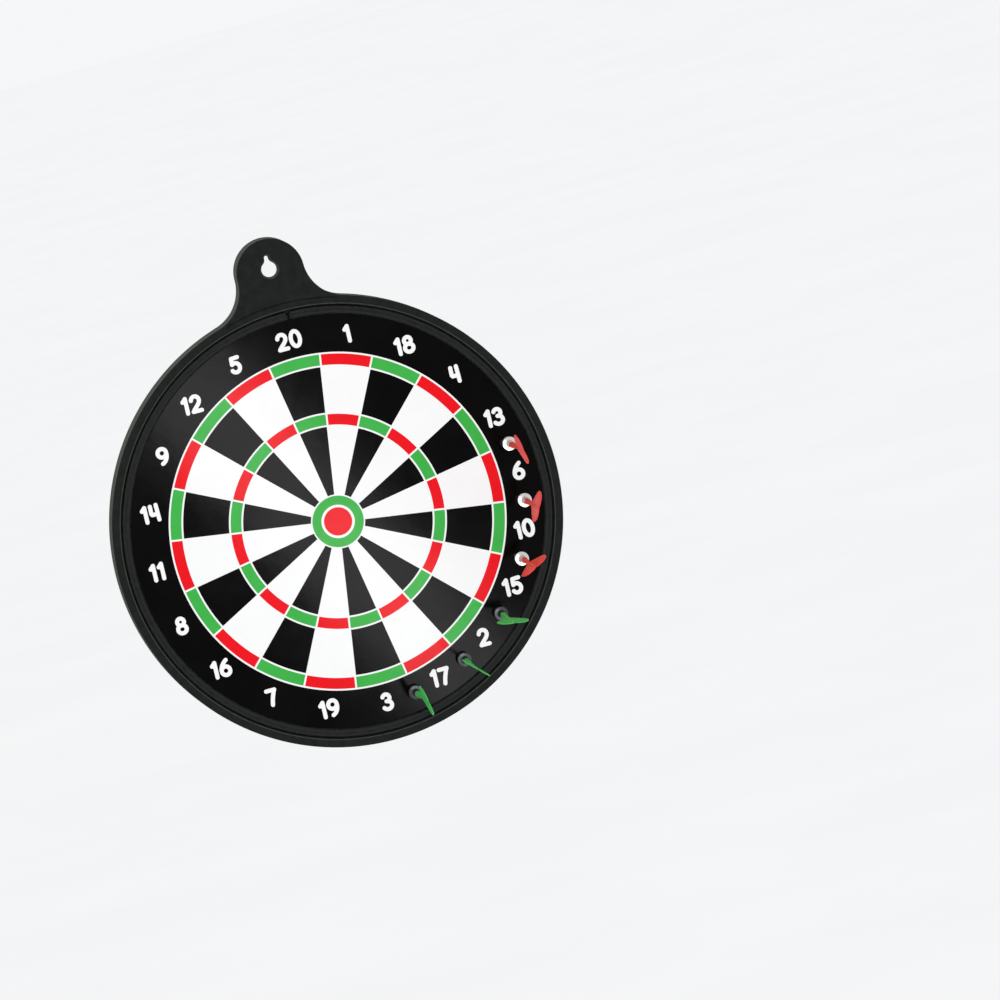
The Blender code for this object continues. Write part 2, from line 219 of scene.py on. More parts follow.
def quarter_round(radius, *degrees):
    """(inset, depth) of points round a rounded edge, from the face towards the wall."""
    return [(radius * (1 - math.sin(t)), radius * (1 - math.cos(t))) for t in np.radians(degrees)]


# ---------------- materials

def hue(red, green, blue):
    """A colour given as it looks on a screen, 0 to 255, as linear light."""
    seen = np.array([red, green, blue]) / 255
    return tuple(np.where(seen <= 0.04045, seen / 12.92, ((seen + 0.055) / 1.055) ** 2.4)) + (1.0,)


def material(name, colour, second, patch, roughness, spread=0.08, grain=(), **sockets):
    """A surface whose screen colour drifts towards `second` in patches, and whose relief is a stack
    of grains, each (kind, size, height). Patch and grains are in millimetres."""
    mat = bpy.data.materials.new(name)
    mat.use_nodes = True
    nodes, links = mat.node_tree.nodes, mat.node_tree.links
    shader = nodes["Principled BSDF"]
    for key, value in sockets.items():
        shader.inputs[key.replace("_", " ")].default_value = value
    place = nodes.new("ShaderNodeTexCoord").outputs["Object"]

    def texture(kind, size):
        node = nodes.new(f"ShaderNodeTex{kind}")
        node.inputs["Scale"].default_value = 1 / (size * MM)
        links.new(place, node.inputs["Vector"])
        if kind == "Noise":
            node.inputs["Detail"].default_value = 4
            return node.outputs["Fac"]
        if kind == "Wave":
            node.bands_direction = "Z"
            node.inputs["Scale"].default_value = 1 / (size * MM * TURN)
            node.inputs["Distortion"].default_value = 0.6
            return node.outputs["Fac"]
        return node.outputs["Distance"]

    def stretched(noise_value, *limits):
        """The noise between the first two limits, spread over the range between the last two."""
        node = nodes.new("ShaderNodeMapRange")
        for key, limit in zip(("From Min", "From Max", "To Min", "To Max"), limits):
            node.inputs[key].default_value = limit
        links.new(noise_value, node.inputs["Value"])
        return node.outputs["Result"]

    drift = texture("Noise", patch)
    mix = nodes.new("ShaderNodeMix")
    mix.data_type = "RGBA"
    mix.inputs["A"].default_value = hue(*colour)
    mix.inputs["B"].default_value = hue(*second)
    links.new(stretched(drift, 0.35, 0.65, 0.0, 1.0), mix.inputs["Factor"])
    links.new(mix.outputs["Result"], shader.inputs["Base Color"])
    dullest, glossiest = min(1.0, roughness + spread), max(0.02, roughness - spread)
    links.new(stretched(drift, 0.3, 0.7, glossiest, dullest), shader.inputs["Roughness"])
    relief = None
    for kind, size, height in grain:
        bump = nodes.new("ShaderNodeBump")
        bump.inputs["Strength"].default_value = 1.0
        bump.inputs["Distance"].default_value = height * MM
        links.new(texture(kind, size), bump.inputs["Height"])
        if relief:
            links.new(relief, bump.inputs["Normal"])
        relief = bump.outputs["Normal"]
    if relief:
        links.new(relief, shader.inputs["Normal"])
    return mat


eva_foam = material(
    "eva_foam", (20, 22, 21), (30, 32, 31), 7, 0.78, 0.08,
    (("Noise", 6, 0.10), ("Voronoi", 0.9, 0.05), ("Noise", 0.5, 0.04)), Specular_IOR_Level=0.12)
# The cut foam of the side wall, keyhole and lips is paler than the flange: partly the cut foam's own colour,
# partly a painted highlight for the light these faces catch.
cut_foam_and_highlight = material(
    "cut_foam_wall_and_highlight", (52, 56, 49), (67, 70, 62), 5, 0.9, 0.06,
    (("Noise", 2.5, 0.25), ("Voronoi", 0.7, 0.12)), Specular_IOR_Level=0.15)
bead_rubber = material(
    "bead_rubber", (6, 7, 7), (22, 24, 23), 4, 0.44, 0.16,
    (("Noise", 3, 0.30), ("Noise", 0.9, 0.12)), Specular_IOR_Level=0.18)
core = material("grey_board_core", (150, 130, 108), (120, 103, 84), 4, 0.88, 0.06, (("Noise", 1.2, 0.08),))
steel = material("sheet_steel", (176, 178, 181), (150, 152, 156), 20, 0.34, 0.08,
                 (("Noise", 0.8, 0.008),), Metallic=1.0)
soft_foam = material("soft_foam", (205, 203, 192), (188, 184, 170), 5, 0.95, 0.04,
                     (("Voronoi", 0.8, 0.20), ("Noise", 3, 0.25)))


def ink(name, colour, second):
    return material(f"print_{name}", colour, second, 24, 0.10, 0.015,
                    (("Noise", 26, 0.05), ("Noise", 2.0, 0.002)), Specular_IOR_Level=0.045)


print_black = ink("black", (1, 1, 1), (3, 3, 3))
print_white = ink("white", (242, 242, 242), (240, 240, 240))
print_red = ink("red", (232, 22, 33), (228, 19, 30))
print_green = ink("green", (66, 176, 77), (60, 170, 70))


def nap(name, colour, second):
    return material(f"loop_{name}", colour, second, 2.2, 0.95, 0.04,
                    (("Noise", 5, 0.12), ("Noise", 1.1, 0.16), ("Voronoi", 0.45, 0.10)),
                    Specular_IOR_Level=0.10, Sheen_Weight=0.12, Sheen_Roughness=0.5)


loop = {name: nap(name, colour, second) for name, colour, second in (
    ("white", (250, 249, 246), (238, 236, 231)),
    ("black", (26, 24, 24), (40, 37, 36)),
    ("red", (232, 40, 34), (214, 30, 28)),
    ("yellow", (250, 226, 22), (240, 208, 14)),
    ("green", (94, 180, 74), (78, 162, 60)),
    ("blue", (44, 88, 168), (32, 72, 150)))}


def moulded(name, colour, second, roughness, subsurface):
    return material(name, colour, second, 12, roughness, 0.06, (("Noise", 1.6, 0.012), ("Noise", 7, 0.06)),
                    Subsurface_Weight=subsurface, Subsurface_Scale=1.0 * MM, Specular_IOR_Level=0.5)


red_plastic = moulded("flight_red", (232, 44, 36), (222, 34, 30), 0.40, 0.12)
green_plastic = moulded("flight_green", (50, 176, 72), (40, 164, 62), 0.40, 0.12)
yellow_shell = moulded("ball_yellow", (250, 216, 24), (244, 206, 16), 0.14, 0.08)
blue_shell = moulded("ball_blue", (40, 132, 206), (30, 120, 196), 0.14, 0.08)
yellow_rim = moulded("ball_yellow_rim", (252, 224, 58), (250, 217, 46), 0.26, 0.08)
blue_rim = moulded("ball_blue_rim", (74, 156, 216), (62, 146, 210), 0.26, 0.08)
# Painted shade: the inside of each hollow ball and the walls of its holes are the shell's own plastic,
# coloured dark here for the shade seen through the holes (orange-red in the yellow ball, navy in the blue).
yellow_painted_inner_shade = material("ball_yellow_painted_shade_inside", (206, 92, 20), (188, 76, 14), 6, 0.5)
blue_painted_inner_shade = material("ball_blue_painted_shade_inside", (18, 34, 92), (14, 28, 78), 6, 0.5)
TURNED_GRAIN = (("Wave", 0.35, 0.003), ("Noise", 1.2, 0.006))
nickel = material("nickel", (214, 212, 208), (196, 194, 190), 6, 0.16, 0.05, TURNED_GRAIN, Metallic=1.0)
gunmetal = material("gunmetal", (72, 73, 76), (56, 57, 60), 6, 0.24, 0.06, TURNED_GRAIN, Metallic=1.0)
magnet_face = material("magnet_face", (96, 96, 100), (78, 78, 82), 3, 0.36, 0.1,
                       (("Noise", 0.5, 0.02),), Metallic=0.9)
hook_tape = material("hook_tape", (16, 16, 17), (28, 28, 29), 2, 0.72, 0.1,
                     (("Voronoi", 0.75, 0.30), ("Noise", 0.3, 0.06)), Specular_IOR_Level=0.45)
strap_edge = material("strap_edge", (46, 46, 47), (66, 66, 67), 2, 0.8, 0.1, (("Noise", 0.6, 0.08),))


# ---------------- mesh tools

def mesh_from(name, verts, faces, kinds, materials, merge=0.0):
    """A mesh with outward faces, shaded smooth except along its sharp edges."""
    mesh = bpy.data.meshes.new(name)
    mesh.from_pydata([tuple(v) for v in verts], [], faces)
    for mat in materials:
        mesh.materials.append(mat)
    mesh.polygons.foreach_set("material_index", np.asarray(kinds, np.int32))
    tidy_mesh(mesh, merge)
    return mesh


def mesh_of(name, bm):
    """The mesh that a bmesh holds; the bmesh is freed."""
    mesh = bpy.data.meshes.new(name)
    bm.to_mesh(mesh)
    bm.free()
    return mesh


def tidy_mesh(mesh, merge=0.0):
    """Face normals outward, shading sharp at edges, and points closer than `merge` joined."""
    bm = bmesh.new()
    bm.from_mesh(mesh)
    if merge:
        bmesh.ops.remove_doubles(bm, verts=bm.verts, dist=merge)
    bmesh.ops.recalc_face_normals(bm, faces=bm.faces)
    bm.to_mesh(mesh)
    bm.free()
    mesh.shade_smooth()
    mesh.set_sharp_from_angle(angle=SHARP)


def grid_faces(index, wrap=False):
    """Faces between neighbouring rows of a grid of vertex numbers, each row a closed loop."""
    here = index if wrap else index[:-1]
    there = np.roll(index, -1, 0) if wrap else index[1:]
    return np.stack([here, np.roll(here, -1, 1), np.roll(there, -1, 1), there], -1).reshape(-1, 4)


def skin(name, loops, materials, bands=0, wrap=False, caps=(0, 0)):
    """A closed mesh lofted through equal closed loops of points. `bands` is the material number of
    each face between loops. Unless it wraps round, a fan of faces closes each end."""
    loops = np.asarray(loops, float)
    rows, columns = loops.shape[:2]
    index = np.arange(rows * columns).reshape(rows, columns)
    faces = grid_faces(index, wrap).tolist()
    bands = np.asarray(bands)
    if bands.ndim == 1:
        bands = bands[:, None]
    kinds = np.broadcast_to(bands, (rows if wrap else rows - 1, columns)).ravel().tolist()
    verts = loops.reshape(-1, 3)
    if not wrap:
        for row, kind in ((0, caps[0]), (rows - 1, caps[1])):
            hub = len(verts)
            verts = np.vstack([verts, loops[row].mean(0)])
            faces += [(hub, int(a), int(b)) for a, b in zip(index[row], np.roll(index[row], -1))]
            kinds += [kind] * columns
    return mesh_from(name, verts, faces, kinds, materials)


def placed(name, data, matrix=Matrix.Identity(4)):
    """A new object in the scene."""
    obj = bpy.data.objects.new(name, data)
    bpy.context.scene.collection.objects.link(obj)
    obj.matrix_world = matrix
    return obj


def piece(name, mesh, body, slot, *nodes, matrix=Matrix.Identity(4)):
    """A visible piece that rides on a body and replaces CAD nodes. Its slot is not used."""
    obj = placed(name, mesh, matrix)
    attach(obj, body)
    if nodes:
        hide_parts(*nodes)
    return obj


def combined(mesh, tool, operation):
    """The mesh after one exact Boolean with a tool mesh."""
    body, cutter = placed("boolean_body", mesh), placed("boolean_tool", tool)
    modifier = body.modifiers.new("cut", "BOOLEAN")
    modifier.operation = operation
    modifier.solver = "EXACT"
    modifier.object = cutter
    depsgraph = bpy.context.evaluated_depsgraph_get()
    result = bpy.data.meshes.new_from_object(body.evaluated_get(depsgraph))
    for part in (body, cutter):
        bpy.data.objects.remove(part, do_unlink=True)
    tidy_mesh(result)
    return result


def rounded(profile, radius, steps=4):
    """An open profile with each inner corner turned into a curve of about that radius, or less
    where the sides beside it are short."""
    points = [Vector(p) for p in profile]
    out = [points[0]]
    for before, corner, after in zip(points, points[1:], points[2:]):
        to_before, to_after = before - corner, after - corner
        turn = to_before.angle(to_after)
        reach = min(radius / math.tan(turn / 2), 0.45 * to_before.length, 0.45 * to_after.length)
        if turn > math.radians(170):
            out.append(corner)
            continue
        start = corner + to_before.normalized() * reach
        end = corner + to_after.normalized() * reach
        for i in range(steps + 1):
            t = i / steps
            out.append((1 - t) ** 2 * start + 2 * t * (1 - t) * corner + t * t * end)
    out.append(points[-1])
    return np.array(out)


def lathe(name, profile, materials, steps=48, bands=0, caps=(0, 0)):
    """A body turned about local Z from (radius, height) points that start and end off the axis."""
    angle = np.arange(steps) * TURN / steps
    profile = np.asarray(profile, float)
    radius, height = profile[:, :1], profile[:, 1:]
    loops = np.stack([radius * np.cos(angle), radius * np.sin(angle),
                      np.broadcast_to(height, (len(profile), steps))], -1)
    return skin(name, loops, materials, bands, caps=caps)


# ---------------- foam frame

def trace(*arcs):
    """Points along arcs in the board's plane, the last point of each left out, and the unit
    directions away from the enclosed side. An arc is (x, z, radius, start, end, steps, side)."""
    points, outward = [], []
    for x, z, radius, start, end, steps, side in arcs:
        angle = np.radians(start + (end - start) * np.arange(steps) / steps)
        ray = np.stack([np.sin(angle), 0 * angle, np.cos(angle)], -1)
        points.append(np.array([x, 0, z]) + radius * ray)
        outward.append(side * ray)
    return np.vstack(points), np.vstack(outward)


def frame_outline():
    """The hoop's outer circle running into the tab through two hollow fillets, from the tab's top
    clockwise, with the angle on the hoop that each point belongs to."""
    fillet = (TAB_RADIUS**2 + TAB_HEIGHT**2 - BOARD_RADIUS**2) / (2 * (BOARD_RADIUS - TAB_RADIUS))
    side = TAB_RADIUS + fillet
    meet = math.degrees(math.atan2(side, TAB_HEIGHT))
    top, steps, sweep = CENTRE.z + TAB_HEIGHT, 28, 640
    points, outward = trace(
        (0, top, TAB_RADIUS, 0, 90, steps, 1),
        (side, top, fillet, 270, 180 + meet, steps, -1),
        (0, CENTRE.z, BOARD_RADIUS, meet, 360 - meet, sweep, 1),
        (-side, top, fillet, 180 - meet, 90, steps, -1),
        (0, top, TAB_RADIUS, -90, 0, steps, 1),
    )
    knots = (0, 2 * steps, 2 * steps + sweep, 4 * steps + sweep)
    angles = np.interp(np.arange(len(points)), knots, np.radians((0, meet, 360 - meet, 360)))
    return points, outward, angles


def keyhole_tool():
    """The keyhole's opening with a softly flared lip at each face of the board."""
    bulb_z = NAIL_HEIGHT - BULB_DROP
    to_bulb = BULB_RADIUS + KEYHOLE_FILLET
    to_seat = NAIL_RADIUS + KEYHOLE_FILLET
    rise = (to_bulb**2 - to_seat**2 + BULB_DROP**2) / (2 * BULB_DROP)
    side = math.sqrt(to_bulb**2 - rise**2)
    bulb_meet = math.degrees(math.atan2(side, rise))
    seat_meet = math.degrees(math.atan2(side, rise - BULB_DROP))
    bulb_z += CENTRE.z
    points, outward = trace(
        (0, 0, NAIL_RADIUS, -seat_meet, seat_meet, 16, 1),
        (side, bulb_z + rise, KEYHOLE_FILLET, 180 + seat_meet, 180 + bulb_meet, 10, -1),
        (0, bulb_z, BULB_RADIUS, bulb_meet, 360 - bulb_meet, 44, 1),
        (-side, bulb_z + rise, KEYHOLE_FILLET, 180 - bulb_meet, 180 - seat_meet, 10, -1),
    )
    past_face = (KEYHOLE_LIP * 1.2, -1 * MM)
    lip = [past_face] + quarter_round(KEYHOLE_LIP, 0, *QUARTER_STEPS)
    front, back = FRONT + FLANGE_SINK, BACK - FLANGE_SINK
    rows = [(flare, front + depth) for flare, depth in lip]
    for share in (0.2, 0.35, 0.5, 0.65, 0.8):
        rows.append((-KEYHOLE_SWELL * math.sin(math.pi * share), front + (back - front) * share))
    rows += [(flare, back - depth) for flare, depth in reversed(lip)]
    loops = [points + flare * outward + np.array([0, y, 0]) for flare, y in rows]
    return skin("keyhole_tool", loops, (eva_foam, cut_foam_and_highlight), 1, caps=(1, 1))


def foam_frame():
    """The foam hoop with its tab: raised lips beside the beads, soft outer edge, ledge and keyhole."""
    outline, outward, angle = frame_outline()
    reach = np.hypot(outline[:, 0], outline[:, 2] - CENTRE.z) - BOARD_RADIUS
    on_tab = smooth_step(reach / (3 * MM))
    wave = FLANGE_WAVE * (np.sin(7 * angle + 1) + np.sin(17 * angle + 2) + 0.6 * np.sin(41 * angle))
    ripple = WALL_RIPPLE * (np.sin(23 * angle) + np.sin(59 * angle + 1.3))[:, None] * outward
    middle = FLANGE_MIDDLE + (CREASE_RADIUS - FLANGE_MIDDLE) * on_tab

    def face_rows(face, inward, seat, skew):
        """From the bead's seat out to the side wall, on the face at depth `face`."""
        floor = abs(seat - face) + 0.15 * MM
        section = [(BORE_RADIUS, floor + 0.2 * MM), (BORE_RADIUS, floor), (LIP_RADIUS - 1.1 * MM, floor)]
        section += [(LIP_RADIUS - inside * MM, depth * MM) for inside, depth in LIP_INSIDE]
        section += [(LIP_RADIUS + out * MM, FLANGE_SINK * sunk + wave) for out, sunk in LIP_OUTSIDE]
        section += [(middle - before * MM, FLANGE_SINK + CREASE_DEPTH * fold * on_tab + wave)
                    for before, fold in CREASE_SECTION]
        rows = [round_board(radius, angle, face + inward * depth) for radius, depth in section]
        crease = rows[-1]
        rim = outline + np.array(direction(SKEW_ANGLE) * skew)
        rim += np.array([0, face + inward * FLANGE_SINK, 0])
        edge = rim - RIM_ROUNDING * outward
        for share in (np.arange(1, 13) / 12) ** 1.6:
            row = crease * (1 - share) + edge * share
            row[:, 1] = edge[:, 1] + inward * wave * (1 - share)
            rows.append(row)
        for inset, depth in quarter_round(RIM_ROUNDING, *QUARTER_STEPS):
            rows.append(rim - inset * outward + np.array([0, inward * depth, 0]))
        return rows

    chamfer = 0.3 * MM
    ledge = [round_board(radius, angle, y) for radius, y in
             ((BORE_RADIUS, LEDGE_BACK), (LEDGE_RADIUS + chamfer, LEDGE_BACK),
              (LEDGE_RADIUS, LEDGE_BACK - chamfer), (LEDGE_RADIUS, LEDGE_FRONT + chamfer),
              (LEDGE_RADIUS + chamfer, LEDGE_FRONT), (BORE_RADIUS, LEDGE_FRONT))]
    front = face_rows(FRONT, 1, PRINT_FRONT - RING_GAP, 0.0)
    back = face_rows(BACK, -1, FABRIC_FRONT + RING_GAP, SKEW)
    wall = [front[-1] * (1 - share) + back[-1] * share - WALL_HOLLOW * outward + ripple
            for share in (0.2, 0.4, 0.6, 0.8)]
    loops = ledge + front + wall + back[::-1]
    bands = np.zeros(len(loops), int)
    first_wall = len(ledge) + len(front) - 2
    # the side wall and its rounded edges take the paler cut foam, partly a painted highlight
    bands[first_wall:first_wall + len(wall) + 3] = 1
    # the two bands of faces just inside each lip's crown take the paler cut foam, as the side wall does:
    # partly the cut edge's own colour, partly a painted highlight along the lip
    shoulder = len(LIP_INSIDE) + 1
    bands[len(ledge) + shoulder:len(ledge) + shoulder + 2] = 1
    bands[-shoulder - 3:-shoulder - 1] = 1
    mesh = skin("foam_frame_fine", loops, (eva_foam, cut_foam_and_highlight), bands, wrap=True)
    mesh = combined(mesh, keyhole_tool(), "DIFFERENCE")
    piece("foam_frame_fine", mesh, "board", "eva_foam", "foam_frame")


def bead_height(across):
    """Height of the bead's section: a crown beside the face, then a lower shoulder by the groove."""
    rise = math.sqrt(1 - (1 - min(1.0, across / 0.28)) ** 2)
    shoulder = 1 - 0.26 * float(smooth_step((across - 0.36) / 0.34))
    fall = 1 - 0.55 * max(0.0, (across - 0.80) / 0.20) ** 2
    return max(0.3, rise * shoulder * fall)


def bead(name, seat, outward, node):
    """A pressed-in rubber bead, round topped and slightly wrinkled, open at its butt seam."""
    half = SEAM_WIDTH / RING_INNER / 2
    first, last = SEAM_ANGLE + half, SEAM_ANGLE + TURN - half
    near_seam = np.array([0.4, 0.8, 1.2, 1.7, 2.3]) * MM / RING_INNER
    stations = np.concatenate([[first], first + near_seam, np.linspace(first, last, 901)[8:-8],
                               last - near_seam[::-1], [last]])
    section = [(0.0, 0.0), (0.0, 0.3)]
    section += [(across, bead_height(across)) for across in np.linspace(0.02, 1.0, 22)]
    section += [(1.0, 0.0)]
    loops = []
    for angle in stations:
        spot = direction(angle) * 12
        swell = noise.noise(spot * 1.7) * 0.05
        to_seam = min(angle - first, last - angle) * RING_INNER / SEAM_NOTCH
        width = (RING_OUTER - RING_INNER) * (1 - 0.45 * (1 - min(1.0, to_seam)) ** 2)
        row = []
        for across, high in section:
            at = spot * 5 + Vector((across * 1.6, high, 3))
            crinkle = noise.noise(at) * 0.08 + noise.noise(at * 3.1) * 0.06 + noise.noise(at * 8.3) * 0.05
            lift = high * (0.95 + swell) + crinkle * math.sin(math.pi * across) * min(1, high * 2)
            wander = crinkle * BEAD_WANDER * (1 - across) * min(1, high * 3)
            row.append(round_board(RING_INNER + across * width - wander, angle,
                                   seat + outward * RING_HEIGHT * min(lift, 1.0)))
        loops.append(row)
    mesh = skin(name, loops, (bead_rubber,))
    piece(name, mesh, "board", "rubber_bead", node)


# ---------------- dart face print

def boundary_columns(boundaries, offsets, between, radius):
    """Angles of the columns of a round grid at one radius: beside each boundary, columns at the
    given distances from it, so that lines keep their width, and even steps in between."""
    out = []
    count = len(boundaries)
    for i, start in enumerate(boundaries):
        end = boundaries[(i + 1) % count] + (TURN if i == count - 1 else 0)
        beside = [math.asin(min(0.95, offset / radius)) for offset in offsets]
        out += [start + b for b in beside]
        out += list(np.linspace(start + beside[-1], end - beside[-1], between + 2)[1:-1])
        out += [end - b for b in reversed(beside)]
    return np.array(out)


def dart_print():
    """The printed steel-backed sheet: bull, 20 sectors, treble and double rings and number band."""
    radii = [BULL, BULL_LINE, OUTER_BULL, OUTER_BULL_LINE,
             TREBLE[0] - RING_LINE, TREBLE[0], TREBLE[1], TREBLE[1] + RING_LINE,
             DOUBLE[0] - RING_LINE, DOUBLE[0], DOUBLE[1], DOUBLE[1] + RING_LINE, DISC_RADIUS]
    step = TURN / SECTORS
    boundaries = [step * (i + 0.5) for i in range(SECTORS)]
    between = 12
    columns = [boundary_columns(boundaries, (SECTOR_LINE,), between, max(r, OUTER_BULL_LINE)) for r in radii]
    front = [round_board(r, c, PRINT_FRONT) for r, c in zip(radii, columns)]
    back = [round_board(DISC_RADIUS, columns[-1], PRINT_BACK)]
    black, white, red, green = range(4)
    per_sector = between + 2
    sector = (np.arange(SECTORS * per_sector) // per_sector + 1) % SECTORS
    dark = sector % 2 == 0
    line = np.arange(SECTORS * per_sector) % per_sector == per_sector - 1
    field = np.where(line, white, np.where(dark, black, white))
    ring = np.where(line, white, np.where(dark, green, red))
    one = np.ones(len(line), int)
    bands = [white * one, green * one, white * one, field, white * one, ring, white * one, field,
             white * one, ring, white * one, black * one, black * one]
    mesh = skin("dart_face_print", front + back, (print_black, print_white, print_red, print_green),
                np.array(bands), caps=(red, black))
    piece("dart_face_print", mesh, "board", "printed_sheet", "target_sheet")


# ---------------- numerals

def curve(x, z, rx, rz, start, end, steps=18):
    """Points on an ellipse's arc; angles in degrees, anticlockwise from +X."""
    turn = np.radians(np.linspace(start, end, steps + 1))
    return [(x + rx * math.cos(t), z + rz * math.sin(t)) for t in turn]


def bend(a, b, c, d, steps=12):
    """Points on a cubic Bezier curve."""
    a, b, c, d = (np.array(p, float) for p in (a, b, c, d))
    return [tuple((1 - t)**3 * a + 3 * t * (1 - t)**2 * b + 3 * t * t * (1 - t) * c + t**3 * d)
            for t in np.linspace(0, 1, steps + 1)]


# hand-drawn round-ended numerals: each cell's width and centre lines, in millimetres
HAND_HEIGHT = 12.4
HAND_PEN = (1.68, 1.68)
HAND = {
    "0": (7.2, [curve(3.6, 6.2, 3.6, 6.2, 0, 360, 40)]),
    "1": (2.8, [[(0.2, 9.9), (2.7, 12.3), (2.3, 0.1)]]),
    "2": (7.2, [curve(3.6, 8.9, 3.3, 3.4, 170, -20) + bend((6.7, 7.7), (5.9, 5.0), (2.4, 3.2), (0.3, 0.2))
                + [(7.2, 0.1)]]),
    "3": (6.8, [curve(3.1, 9.3, 2.9, 3.0, 155, -75) + [(2.9, 6.6)]
                + curve(3.0, 3.3, 3.6, 3.3, 80, -150)]),
    "4": (6.6, [[(0.7, 12.0), (0.4, 6.0), (1.0, 4.9), (5.7, 4.9)], [(5.6, 12.3), (5.6, 0.0)]]),
    "5": (6.8, [[(6.4, 12.0), (1.3, 11.8), (0.9, 6.9)] + curve(3.2, 3.9, 3.5, 3.8, 125, -150, 26)]),
    "6": (7.0, [bend((5.6, 12.2), (2.4, 10.2), (0.1, 6.8), (0.1, 3.6))
                + curve(3.6, 3.6, 3.5, 3.5, 180, 540, 36)]),
    "7": (6.8, [[(0.0, 12.0), (6.8, 12.0)] + bend((6.8, 12.0), (5.0, 8.6), (3.4, 4.6), (2.6, 0.0))]),
    "8": (7.0, [curve(3.5, 9.3, 2.8, 2.9, 0, 360, 30), curve(3.5, 3.3, 3.5, 3.3, 0, 360, 34)]),
    "9": (7.0, [curve(3.5, 8.7, 3.5, 3.5, 0, 360, 36), bend((7.0, 8.7), (7.3, 5.0), (5.6, 1.4), (2.2, 0.1))]),
}
# square-ended bold numerals, whose lines are cut off at the cell's edges
BOLD_HEIGHT = 16.0
BOLD_PEN = (1.7, 1.2)
OUTER_SCORE_SCALE = 26 / 16
BOLD = {
    "0": (11.0, [curve(5.5, 8.0, 3.8, 6.8, 0, 360, 44)]),
    "1": (8.6, [[(5.6, -3.0), (5.6, 19.0)], [(5.6, 14.3), (1.5, 11.9)]]),
    "2": (10.6, [curve(5.1, 11.3, 3.6, 3.5, 158, -15) + bend((8.6, 10.4), (8.2, 7.6), (3.2, 4.6), (1.9, 1.4))
                 + [(14.0, 1.2)]]),
    "3": (10.6, [curve(4.9, 11.8, 3.5, 3.0, 152, -85) + [(4.0, 8.7)] + [(5.0, 8.7)]
                 + curve(4.9, 4.9, 3.9, 3.7, 85, -152)]),
    "4": (11.4, [[(7.0, 15.6), (1.2, 5.2), (1.2, 4.7), (14.0, 4.7)], [(7.6, -3.0), (7.6, 19.0)]]),
    "5": (10.6, [[(14.0, 14.7), (2.9, 14.7), (2.3, 8.4)] + curve(5.0, 5.4, 3.8, 4.2, 128, -150, 26)]),
    "6": (11.0, [bend((9.4, 14.6), (4.4, 14.6), (1.7, 10.2), (1.7, 5.4))
                 + curve(5.5, 5.2, 3.8, 4.0, 180, 540, 38)]),
    "7": (10.6, [[(-3.0, 14.7), (9.2, 14.7)] + bend((9.2, 14.7), (6.2, 9.6), (4.4, 5.0), (3.6, -3.0))]),
    "8": (11.0, [curve(5.5, 11.9, 3.2, 2.9, 0, 360, 36), curve(5.5, 5.0, 3.8, 3.8, 0, 360, 40)]),
    "9": (11.0, [bend((1.6, 1.4), (6.6, 1.4), (9.3, 5.8), (9.3, 10.6))
                 + curve(5.5, 10.8, 3.8, 4.0, 0, 360, 38)]),
}


def stroke_field(lines, pen, x, z):
    """Negative inside strokes drawn along the lines with an elliptical pen."""
    wide, tall = pen
    best = np.full(x.shape, 1e9)
    for line in lines:
        for (ax, az), (bx, bz) in zip(line, line[1:]):
            dx, dz = (bx - ax) / wide, (bz - az) / tall
            px, pz = (x - ax) / wide, (z - az) / tall
            length = dx * dx + dz * dz
            if length < 1e-9:
                continue
            t = np.clip((px * dx + pz * dz) / length, 0, 1)
            best = np.minimum(best, np.hypot(px - t * dx, pz - t * dz))
    return best - 1


def glyph(lines, pen, box=None, step=0.22):
    """A mesh of one flat filled numeral, in millimetres. `box` is its cell's width and height if
    the strokes are cut off at the cell's edges."""
    points = np.array([p for line in lines for p in line])
    low = points.min(0) - max(pen) - 2 * step
    high = points.max(0) + max(pen) + 2 * step
    x, z = np.meshgrid(np.arange(low[0], high[0], step), np.arange(low[1], high[1], step), indexing="ij")
    field = stroke_field(lines, pen, x, z)
    if box:
        clip = np.maximum(np.maximum(-x, x - box[0]), np.maximum(-z, z - box[1])) / pen[0]
        field = np.maximum(field, clip)
    bm = bmesh.new()
    known = {}

    def vertex(a, b):
        """The grid point a, or where the outline crosses the grid's edge from a to b."""
        key = (min(a, b), max(a, b))
        if key not in known:
            share = 0.0 if a == b else min(0.97, max(0.03, field[key[0]] / (field[key[0]] - field[key[1]])))
            i, j = np.array(key[0]) * (1 - share) + np.array(key[1]) * share
            known[key] = bm.verts.new((low[0] + i * step, 0, low[1] + j * step))
        return known[key]

    inside = field < 0
    for i, j in np.argwhere(inside[:-1, :-1] | inside[1:, :-1] | inside[:-1, 1:] | inside[1:, 1:]):
        i, j = int(i), int(j)
        ring = [(i, j), (i + 1, j), (i + 1, j + 1), (i, j + 1)]
        polygon = []
        for a, b in zip(ring, ring[1:] + ring[:1]):
            if inside[a]:
                polygon.append(vertex(a, a))
            if inside[a] != inside[b]:
                polygon.append(vertex(a, b))
        bm.faces.new(polygon)
    bmesh.ops.recalc_face_normals(bm, faces=bm.faces)
    bmesh.ops.dissolve_limit(bm, angle_limit=math.radians(1.5), verts=bm.verts, edges=bm.edges)
    return mesh_of("glyph", bm)


